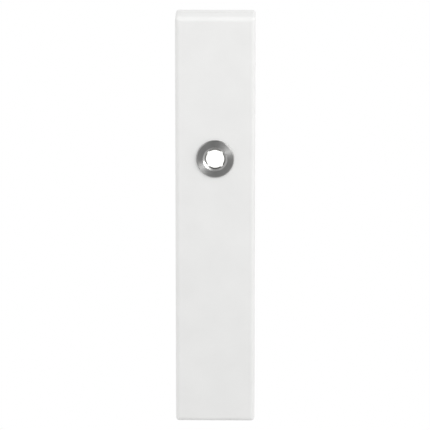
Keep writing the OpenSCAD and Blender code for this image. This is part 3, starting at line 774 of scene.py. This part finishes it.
class DOORBELL_OT_push(bpy.types.Operator):
    """Builds the opal push cap, its spring, switches and lights"""
    bl_idname = "doorbell.push"
    bl_label = "Push"

    def execute(self, context):
        size = context.scene.doorbell_push
        self.build_cap(size)
        self.build_spring()
        softened("push_switches", finishes()["nylon_filled_black"], 0.08 * MM)
        softened("status_leds", finishes()["polymer_filled_ivory"], 0.05 * MM)
        return {"FINISHED"}

    def reach(self, size, angle, inset):
        """How far the cap's outline reaches at an angle: round, with the corners of a square as lugs."""
        square = size.lug_square / 2 / max(abs(math.cos(angle)), abs(math.sin(angle)))
        return max(size.cap, min(square, size.lug_reach)) - inset

    def outline(self, size, y, inset=0.0, steps=240):
        """The cap's outline at one depth, about the push's axis."""
        points = []
        for i in range(steps):
            a = 2 * math.pi * i / steps
            radius = self.reach(size, a, inset)
            points.append((radius * math.cos(a), y - PUSH_AXIS.y, radius * math.sin(a)))
        return points

    def build_cap(self, size):
        """A crowned disc with lugs, a pinhole, a flange that holds it in the bezel, and two legs."""
        low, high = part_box("push_cap")
        steps = 240
        back = SHOULDER_Y + 1.5 * MM
        edge = 0.3 * MM
        crown = 0.12 * MM
        wall = 1 * MM
        face = low.y
        flange = (high.x - low.x) / 2

        def ring(radius, y):
            return circle(radius, y - PUSH_AXIS.y, steps)

        lip, throat = 0.05 * MM, 0.25 * MM
        rings = [ring(size.pinhole_back, face + wall), ring(size.pinhole, face + throat),
                 ring(size.pinhole, face + lip), ring(size.pinhole + lip, face)]
        for share in (0.25, 0.45, 0.65, 0.82):
            rings.append(ring(size.cap * share, face + crown * share ** 3))
        for i in range(5):
            a = math.pi / 2 * i / 4
            y = face + crown + edge * (1 - math.cos(a))
            rings.append(self.outline(size, y, edge * (1 - math.sin(a))))
        rings += [self.outline(size, SHOULDER_Y), ring(flange, SHOULDER_Y), ring(flange, back),
                  ring(size.skirt, back), ring(size.skirt, face + wall)]
        bm = bmesh.new()
        loft(bm, rings, closed=True)
        cap = new_piece("push_cap_opal", bm, PUSH_AXIS)
        legs = bmesh.new()
        spacing, leg_r, sunk = 5.6 * MM, 0.6 * MM, 0.2 * MM
        for side in (-1, 1):
            x = PUSH_AXIS.x + side * spacing
            rod(legs, leg_r, (x, back - sunk, PUSH_AXIS.z), (x, high.y, PUSH_AXIS.z), 24)
        combine(cap, legs, "UNION")
        shade(cap, sharp=50)
        stand_for(cap, finishes()["opal_acrylic"], "push_cap")
        cap.data.materials.append(finishes()["opal_acrylic_skirt_shaded"])
        # Faces behind the crown's rounded edge take the skirt's darker copy of the opal, painted shade of the
        # bore
        lit = face + crown + 0.5 * edge - PUSH_AXIS.y
        for part in cap.data.polygons:
            part.material_index = 0 if part.center.y < lit and part.center.xz.length > size.pinhole else 1

    def build_spring(self):
        """A coil wound within the spring's box; the real spring shortens as the cap goes in."""
        low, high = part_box("push_spring")
        wire, turns, steps, sides = 0.22 * MM, 6, 28, 10
        radius = (high.x - low.x) / 2 - wire
        bm = bmesh.new()
        rings = []
        for i in range(turns * steps + 1):
            a = 2 * math.pi * i / steps
            y = low.y + wire + (high.y - low.y - 2 * wire) * i / (turns * steps)
            out = Vector((math.cos(a), 0, math.sin(a)))
            centre = out * radius + Vector((0, y - PUSH_AXIS.y, 0))
            rings.append([centre + wire * (math.cos(b) * out + Vector((0, math.sin(b), 0)))
                          for b in [2 * math.pi * k / sides for k in range(sides)]])
        loft(bm, rings)
        spring = new_piece("push_spring_wound", bm, PUSH_AXIS)
        shade(spring, sharp=60)
        settle(spring)
        stand_for(spring, finishes()["nickel_plated"], "push_spring")
        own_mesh(spring)


class DOORBELL_OT_camera(bpy.types.Operator):
    """Builds the lens, its holder and the image sensor"""
    bl_idname = "doorbell.camera"
    bl_label = "Camera"

    def execute(self, context):
        low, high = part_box("lens_barrel")
        outer = (high.x - low.x) / 2
        thread = outer - 0.12 * MM
        mouth, tip, bore = 0.75 * MM, 1.2 * MM, 1.9 * MM
        cone = low.y + 4 * MM
        barrel = turned("lens_barrel_turned", [
            (mouth, low.y + 0.12 * MM), (mouth + 0.1 * MM, low.y), (tip - 0.08 * MM, low.y),
            (tip, low.y + 0.08 * MM), (outer, cone), (outer, high.y - 2 * MM), (thread, high.y - 1.8 * MM),
            (thread, high.y), (bore, high.y), (bore, cone), (mouth, low.y + 1.2 * MM)], 64)
        shade(barrel)
        stand_for(barrel, finishes()["nylon_filled_black"], "lens_barrel")
        for node in ("lens_front_element", "lens_rear_element"):
            self.build_lens(node)
        softened("lens_holder", finishes()["nylon_filled_black"], 0.15 * MM)
        softened("image_sensor", finishes()["nylon_filled_black"], 0.05 * MM)
        return {"FINISHED"}

    def build_lens(self, node):
        """A glass element, domed towards the front and flat behind."""
        low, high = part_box(node)
        radius = (high.x - low.x) / 2
        sag = 0.3 * (high.y - low.y)
        bm = bmesh.new()
        centre = (low + high) / 2
        dome = [(radius * s, low.y + sag * s * s) for s in (0.02, 0.25, 0.5, 0.75, 0.9, 1.0)]
        rings = [circle(r, y - centre.y, 48) for r, y in dome]
        rings += [circle(radius, high.y - centre.y, 48), circle(radius * 0.02, high.y - centre.y, 48)]
        loft(bm, rings)
        lens = new_piece(node + "_ground", bm, centre)
        shade(lens)
        stand_for(lens, finishes()["glass_coated"], node)


class DOORBELL_OT_boards(bpy.types.Operator):
    """Builds the circuit boards, their parts and the flex cables"""
    bl_idname = "doorbell.boards"
    bl_label = "Boards and flexes"

    def execute(self, context):
        for node in ("camera_board", "main_board", "power_board", "io_board"):
            softened(node, finishes()["fr4_solder_masked"], 0.08 * MM)
        softened("radio_module", finishes()["nickel_plated"], 0.1 * MM)
        for node in ("processor_chip", "board_chips"):
            softened(node, finishes()["nylon_filled_black"], 0.08 * MM)
        softened("shield_can", finishes()["nickel_plated"], 0.1 * MM)
        softened("flex_connectors", finishes()["polymer_filled_ivory"], 0.05 * MM)
        for node in ("camera_flex", "battery_lead", "power_flex", "io_flex"):
            softened(node, finishes()["polyimide_film"], 0.03 * MM)
        return {"FINISHED"}


class DOORBELL_OT_power(bpy.types.Operator):
    """Builds the battery with its pads, and the terminals for the bell wires"""
    bl_idname = "doorbell.power"
    bl_label = "Battery and terminals"

    def execute(self, context):
        softened("battery_pack", finishes()["aluminium_laminate_foil"], 1.0 * MM)
        softened("battery_pads", finishes()["epdm_rubber"], 0.1 * MM)
        softened("terminal_block", finishes()["nylon_filled_black"], 0.15 * MM)
        softened("terminal_screws", finishes()["brass_flashed"], 0.12 * MM)
        return {"FINISHED"}


class DOORBELL_OT_bottom(bpy.types.Operator):
    """Builds the charging port and its flap, the speaker, microphone and reset button"""
    bl_idname = "doorbell.bottom"
    bl_label = "Bottom end"

    def execute(self, context):
        softened("usb_port", finishes()["nickel_plated"], 0.08 * MM)
        softened("usb_flap", finishes()["silicone_moulded_white"], 0.15 * MM)
        softened("usb_flap_pin", finishes()["nickel_plated"], 0.05 * MM)
        softened("speaker", finishes()["nylon_filled_black"], 0.2 * MM)
        softened("speaker_gasket", finishes()["epdm_rubber"], 0.1 * MM)
        softened("speaker_mesh", finishes()["nickel_plated"], 0.03 * MM)
        softened("microphone", finishes()["nickel_plated"], 0.05 * MM)
        softened("mic_boot", finishes()["epdm_rubber"], 0.1 * MM)
        softened("reset_button", finishes()["polymer_filled_ivory"], 0.12 * MM)
        softened("reset_switch", finishes()["nylon_filled_black"], 0.1 * MM)
        return {"FINISHED"}


class DOORBELL_OT_fixings(bpy.types.Operator):
    """Builds the wall bracket, the screws and the tamper plunger"""
    bl_idname = "doorbell.fixings"
    bl_label = "Bracket and fixings"

    def execute(self, context):
        softened("wall_bracket", finishes()["steel_zinc_plated"], 0.2 * MM)
        for node in ("housing_screws", "board_screws", "security_screw"):
            softened(node, finishes()["nickel_plated"], 0.08 * MM)
        softened("tamper_plunger", finishes()["nylon_filled_black"], 0.12 * MM)
        softened("tamper_switch", finishes()["nylon_filled_black"], 0.1 * MM)
        return {"FINISHED"}


# ---------------------------------------------------------------- stage

class DOORBELL_OT_stage(bpy.types.Operator):
    """Sets up the white floor, the soft surround, the lights and the camera"""
    bl_idname = "doorbell.stage"
    bl_label = "Stage"

    def execute(self, context):
        settings = context.scene.doorbell_stage
        context.scene.view_settings.view_transform = "Standard"
        self.build_camera(context, settings)
        self.build_floor(settings)
        self.build_world(context, settings)
        self.build_lights(settings)
        return {"FINISHED"}

    def build_camera(self, context, settings):
        data = bpy.data.cameras.new("camera")
        camera = bpy.data.objects.new("camera", data)
        context.scene.collection.objects.link(camera)
        data.lens = settings.lens
        low, high = CAD_BOX
        target = (low + high) / 2 + Vector((-0.25 * MM, 0, 1.45 * MM))
        level, rise = math.cos(settings.elevation), math.sin(settings.elevation)
        back = Vector((level * math.sin(settings.swing), -level * math.cos(settings.swing), rise))
        camera.location = target + back * settings.distance
        camera.rotation_euler = (-back).to_track_quat("-Z", "Y").to_euler()
        data.clip_start = 0.05
        context.scene.camera = camera

    def build_floor(self, settings):
        """A pale floor that is white far behind the doorbell and dimmer just in front of its foot."""
        bm = bmesh.new()
        z = -settings.floor_drop
        corners = [(-4, -1.5, z), (4, -1.5, z), (4, 8, z), (-4, 8, z)]
        bm.faces.new([bm.verts.new(p) for p in corners])
        floor = new_piece("floor", bm)
        material = bpy.data.materials.new("floor_white")
        material.use_nodes = True
        tree = material.node_tree
        tree.nodes.clear()
        place = add(tree, "ShaderNodeTexCoord").outputs["Object"]
        away = add(tree, "ShaderNodeVectorMath", {"operation": "DISTANCE"}, {0: place, 1: (0, -0.5, z)})
        dim = add(tree, "ShaderNodeMapRange", {"interpolation_type": "SMOOTHSTEP"}, {
            "Value": away.outputs["Value"], "From Min": 0.2, "From Max": 0.85,
            "To Min": settings.floor_shade, "To Max": 1.0})
        behind = add(tree, "ShaderNodeMapRange", {"interpolation_type": "SMOOTHSTEP"}, {
            "Value": add(tree, "ShaderNodeSeparateXYZ", inputs={"Vector": place}).outputs["Y"],
            "From Min": 1.0, "From Max": 3.0, "To Min": settings.floor_level, "To Max": 1.0})
        level = add(tree, "ShaderNodeMath", {"operation": "MULTIPLY"}, {
            0: dim.outputs[0], 1: behind.outputs[0]})
        light = add(tree, "ShaderNodeEmission", inputs={"Color": (1, 1, 1, 1), "Strength": level.outputs[0]})
        add(tree, "ShaderNodeOutputMaterial", inputs={"Surface": light.outputs[0]})
        floor.data.materials.append(material)

    def build_world(self, context, settings):
        """A pale surround with dimmer patches in front and above, which the camera sees as plain."""
        world = bpy.data.worlds.new("surround")
        context.scene.world = world
        world.use_nodes = True
        tree = world.node_tree
        tree.nodes.clear()
        towards = add(tree, "ShaderNodeTexCoord").outputs["Generated"]

        def patch(axis, wide, narrow, outside, inside):
            """A level that turns from outside to inside between two angles from an axis, in degrees."""
            along = add(tree, "ShaderNodeVectorMath", {"operation": "DOT_PRODUCT"}, {0: towards, 1: axis})
            return add(tree, "ShaderNodeMapRange", {"interpolation_type": "SMOOTHSTEP"}, {
                "Value": along.outputs["Value"], "From Min": math.cos(math.radians(wide)),
                "From Max": math.cos(math.radians(narrow)), "To Min": outside, "To Max": inside}).outputs[0]

        front = patch((0, -0.97, -0.24), 55, 25, settings.surround, settings.surround * settings.front_shade)
        above = patch((0, -0.15, 0.99), 38, 22, 1.0, settings.ceiling_shade)
        ray = add(tree, "ShaderNodeLightPath").outputs
        flagged = add(tree, "ShaderNodeMix", {"data_type": "FLOAT"}, {
            0: ray["Is Diffuse Ray"], 2: above, 3: settings.ceiling_level}).outputs[0]
        lit = add(tree, "ShaderNodeMath", {"operation": "MULTIPLY"}, {0: front, 1: flagged}).outputs[0]
        plain = patch((0, 0.97, -0.24), 50, 30, settings.backdrop, 1.0)
        shown = add(tree, "ShaderNodeMix", {"data_type": "FLOAT"}, {
            0: ray["Is Camera Ray"], 2: lit, 3: plain})
        light = add(tree, "ShaderNodeBackground", inputs={
            "Color": (1, 1, 1, 1), "Strength": shown.outputs[0]})
        add(tree, "ShaderNodeOutputWorld", inputs={"Surface": light.outputs[0]})

    def build_lights(self, settings):
        """Two softboxes and a strip, all aimed at one point above the doorbell's middle."""
        aimed_at = Vector((0, 0, 0.03))
        steel = bpy.data.collections.new("glint_receivers")
        steel.objects.link(bpy.data.objects["bezel_ring_turned"])
        for name, towards, distance, size, power, diffuse, glossy in (
                ("key_softbox", (0.75, -0.55, 0.5), 0.8, 0.6, settings.key_power, True, True),
                ("fill_softbox", (-0.15, -0.8, 0.42), 1.3, 1.0, settings.fill_power, True, False),
                ("glint_strip", (0.77, -0.52, 0.25), 1.2, 0.33, settings.glint_power, False, True)):
            data = bpy.data.lights.new(name, "AREA")
            data.size = size
            data.energy = power
            light = bpy.data.objects.new(name, data)
            light.visible_diffuse = diffuse
            light.visible_glossy = glossy
            if not diffuse:
                light.light_linking.receiver_collection = steel
            aim = Vector(towards).normalized()
            light.location = aim * distance + aimed_at
            light.rotation_euler = (-aim).to_track_quat("-Z", "Y").to_euler()
            bpy.context.scene.collection.objects.link(light)


# ---------------------------------------------------------------- add-on

PIECES = (
    DOORBELL_OT_front_shell,
    DOORBELL_OT_back_shell,
    DOORBELL_OT_bezel,
    DOORBELL_OT_push,
    DOORBELL_OT_camera,
    DOORBELL_OT_boards,
    DOORBELL_OT_power,
    DOORBELL_OT_bottom,
    DOORBELL_OT_fixings,
    DOORBELL_OT_stage,
)


class DOORBELL_PT_panel(bpy.types.Panel):
    """Lists the doorbell's settings and operators"""
    bl_idname = "DOORBELL_PT_panel"
    bl_label = "Doorbell"
    bl_space_type = "VIEW_3D"
    bl_region_type = "UI"
    bl_category = "Doorbell"

    def draw(self, context):
        scene = context.scene
        for group in (scene.doorbell_housing, scene.doorbell_push, scene.doorbell_stage):
            box = self.layout.box()
            for key in group.bl_rna.properties.keys():
                if key not in ("rna_type", "name"):
                    box.prop(group, key)
        for operator in PIECES:
            self.layout.operator(operator.bl_idname)


CLASSES = (HousingSettings, PushSettings, StageSettings, *PIECES, DOORBELL_PT_panel)


def register():
    for cls in CLASSES:
        bpy.utils.register_class(cls)
    bpy.types.Scene.doorbell_housing = PointerProperty(type=HousingSettings)
    bpy.types.Scene.doorbell_push = PointerProperty(type=PushSettings)
    bpy.types.Scene.doorbell_stage = PointerProperty(type=StageSettings)


def unregister():
    del bpy.types.Scene.doorbell_stage
    del bpy.types.Scene.doorbell_push
    del bpy.types.Scene.doorbell_housing
    for cls in reversed(CLASSES):
        bpy.utils.unregister_class(cls)


def main():
    register()
    for operator in PIECES:
        group, name = operator.bl_idname.split(".")
        getattr(getattr(bpy.ops, group), name)()


if __name__ == "__main__":
    main()
